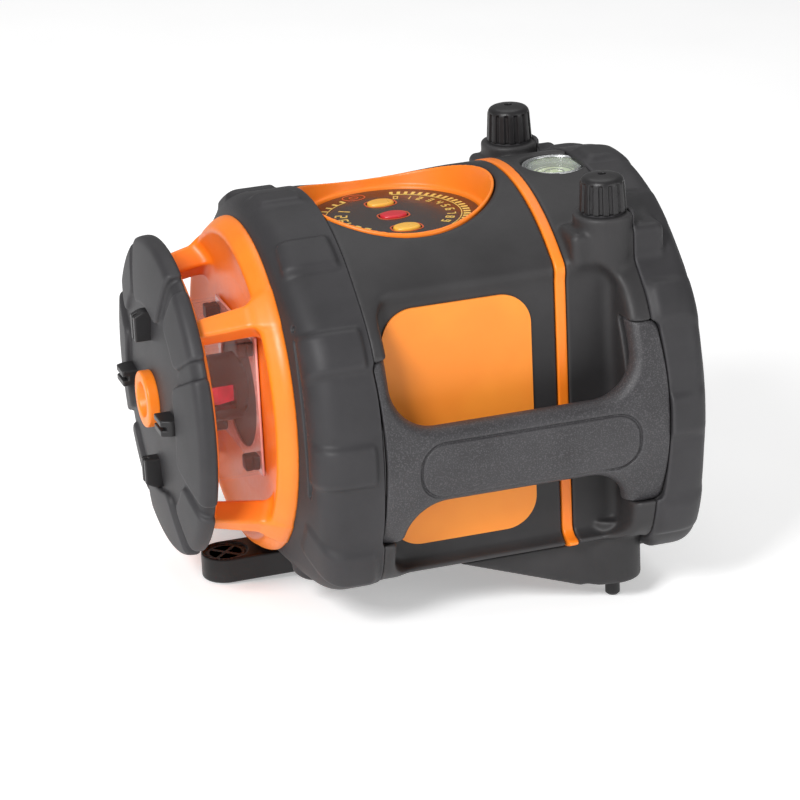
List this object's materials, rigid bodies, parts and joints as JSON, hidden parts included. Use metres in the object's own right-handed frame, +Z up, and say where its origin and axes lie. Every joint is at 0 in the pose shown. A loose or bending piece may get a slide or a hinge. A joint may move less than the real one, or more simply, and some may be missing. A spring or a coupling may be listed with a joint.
{
  "type": "rotating laser level",
  "caption": "Drum-shaped self-levelling rotating laser lying on a front foot and two screw feet, with cap on four posts, side handles and round control panel.",
  "frame": {"origin": "centre of the mouth of the tripod thread, on the base face", "axes": "X is the rotor axis, with the head at -X and the base at +X; +Z is up with the instrument lying on its feet, control panel up; Y is across"},
  "size_m": [0.2082, 0.173, 0.178],
  "materials": {
    "housing_plastic": "fine grained, matte",
    "handle_plastic": "speckled grained plastic",
    "soft_rubber": "moulded rubber, matte",
    "orange_plastic": "satin orange",
    "orange_plate": "satin orange plate",
    "black_plastic": "smooth black",
    "steel": "machined",
    "clear_glass": "polished",
    "clear_lens": "polished",
    "vial_metal": "satin",
    "vial_liquid": "tinted liquid",
    "panel_black": "printed fascia, glossy",
    "circuit_board": "solder mask",
    "yellow_button": "printed key",
    "red_button": "printed key",
    "aluminium": "cast and machined",
    "brass": "turned",
    "white_plastic": "acetal",
    "battery_wrap": "shrink sleeve"
  },
  "bodies": {
    "chassis": {"front_housing": "housing_plastic", "rear_housing": "housing_plastic", "trim_ring": "orange_plastic", "front_bumper": "soft_rubber", "rear_bumper": "soft_rubber", "base_plate": "housing_plastic", "tripod_insert": "brass", "left_handle": "handle_plastic", "right_handle": "handle_plastic", "handle_screws": "steel", "side_plates": "orange_plate", "rotor_cage": "orange_plastic", "cage_screws": "steel", "head_cap": "soft_rubber", "cap_bezel": "orange_plastic", "sight_blades": "black_plastic", "lantern_panes": "clear_glass", "pane_pads": "soft_rubber", "lantern_bellows": "soft_rubber", "panel_bezel": "orange_plastic", "control_panel": "panel_black", "panel_board": "circuit_board", "front_foot": "black_plastic", "beam_target": "black_plastic", "vial_cup": "vial_metal", "vial_lens": "clear_lens", "vial_fluid": "vial_liquid", "gimbal_frame": "aluminium", "tilt_motors": "steel", "main_board": "circuit_board", "battery_pack": "battery_wrap", "hinge_pin": "steel", "base_screws": "steel", "knob_seals": "soft_rubber"},
    "near_button": {"near_button": "yellow_button"},
    "power_button": {"power_button": "red_button"},
    "far_button": {"far_button": "yellow_button"},
    "left_knob": {"left_knob": "black_plastic", "left_leadscrew": "steel"},
    "right_knob": {"right_knob": "black_plastic", "right_leadscrew": "steel"},
    "left_foot_pin": {"left_foot_pin": "black_plastic"},
    "right_foot_pin": {"right_foot_pin": "black_plastic"},
    "gimbal_ring": {"gimbal_ring": "aluminium"},
    "laser_unit": {"laser_tube": "aluminium", "rotor_bearings": "steel", "laser_diode": "brass", "collimator_lens": "clear_glass", "rotor_motor": "steel", "drive_belt": "soft_rubber"},
    "rotor": {"rotor_head": "black_plastic", "rotor_prism": "clear_glass", "rotor_pulley": "white_plastic"},
    "motor_pulley": {"motor_pulley": "white_plastic"},
    "pitch_screw": {"pitch_screw": "steel"},
    "pitch_nut": {"pitch_nut": "white_plastic"},
    "yaw_screw": {"yaw_screw": "steel"},
    "yaw_nut": {"yaw_nut": "white_plastic"},
    "battery_door": {"battery_door": "housing_plastic"},
    "battery_latch": {"battery_latch": "black_plastic"}
  },
  "joints": [
    {"name": "near_button_press", "type": "slide", "parent": "chassis", "child": "near_button", "axis": [0, 0, -1], "range_m": [0, 0.0008], "stiffness_N_per_m": 600},
    {"name": "power_button_press", "type": "slide", "parent": "chassis", "child": "power_button", "axis": [0, 0, -1], "range_m": [0, 0.0008], "stiffness_N_per_m": 600},
    {"name": "far_button_press", "type": "slide", "parent": "chassis", "child": "far_button", "axis": [0, 0, -1], "range_m": [0, 0.0008], "stiffness_N_per_m": 600},
    {"name": "left_knob_turn", "type": "hinge", "parent": "chassis", "child": "left_knob", "pos_m": [-0.0304, -0.0535, 0.07], "axis": [0, 0, 1], "range_deg": [-4120, 3090]},
    {"name": "left_foot_slide", "type": "slide", "parent": "chassis", "child": "left_foot_pin", "axis": [0, 0, 1], "range_m": [-0.006, 0.008]},
    {"name": "right_knob_turn", "type": "hinge", "parent": "chassis", "child": "right_knob", "pos_m": [-0.0304, 0.0535, 0.07], "axis": [0, 0, 1], "range_deg": [-4120, 3090]},
    {"name": "right_foot_slide", "type": "slide", "parent": "chassis", "child": "right_foot_pin", "axis": [0, 0, 1], "range_m": [-0.006, 0.008]},
    {"name": "pitch_screw_turn", "type": "hinge", "parent": "chassis", "child": "pitch_screw", "pos_m": [-0.12, 0, -0.038], "axis": [1, 0, 0], "range_deg": [-2380, 2380]},
    {"name": "pitch_nut_slide", "type": "slide", "parent": "chassis", "child": "pitch_nut", "axis": [1, 0, 0], "range_m": [-0.0033, 0.0033]},
    {"name": "pitch_tilt", "type": "hinge", "parent": "chassis", "child": "gimbal_ring", "pos_m": [-0.146, 0, 0], "axis": [0, 1, 0], "range_deg": [-5, 5]},
    {"name": "yaw_screw_turn", "type": "hinge", "parent": "chassis", "child": "yaw_screw", "pos_m": [-0.12, 0.038, 0], "axis": [1, 0, 0], "range_deg": [-2380, 2380]},
    {"name": "yaw_nut_slide", "type": "slide", "parent": "chassis", "child": "yaw_nut", "axis": [1, 0, 0], "range_m": [-0.0033, 0.0033]},
    {"name": "yaw_tilt", "type": "hinge", "parent": "gimbal_ring", "child": "laser_unit", "pos_m": [-0.146, 0, 0], "axis": [0, 0, 1], "range_deg": [-5, 5]},
    {"name": "rotor_spin", "type": "hinge", "parent": "laser_unit", "child": "rotor", "pos_m": [-0.1775, 0, 0], "axis": [1, 0, 0], "continuous": true},
    {"name": "motor_pulley_spin", "type": "hinge", "parent": "laser_unit", "child": "motor_pulley", "pos_m": [-0.156, 0.01697, 0.01697], "axis": [1, 0, 0], "continuous": true},
    {"name": "battery_door_swing", "type": "hinge", "parent": "chassis", "child": "battery_door", "pos_m": [-0.0032, 0, -0.0224], "axis": [0, -1, 0], "range_deg": [0, 110]},
    {"name": "battery_latch_turn", "type": "hinge", "parent": "battery_door", "child": "battery_latch", "pos_m": [-0.002, 0, -0.051], "axis": [1, 0, 0], "range_deg": [0, 90]}
  ],
  "couplings": [
    {"joint": "left_knob_turn", "follows": "left_foot_slide", "rad_per_m": -8976},
    {"joint": "right_knob_turn", "follows": "right_foot_slide", "rad_per_m": -8976},
    {"joint": "pitch_screw_turn", "follows": "pitch_nut_slide", "rad_per_m": 12566},
    {"joint": "pitch_tilt", "follows": "pitch_nut_slide", "rad_per_m": -26.316},
    {"joint": "yaw_screw_turn", "follows": "yaw_nut_slide", "rad_per_m": 12566},
    {"joint": "yaw_tilt", "follows": "yaw_nut_slide", "rad_per_m": -26.316},
    {"joint": "motor_pulley_spin", "follows": "rotor_spin", "ratio": 2}
  ]
}
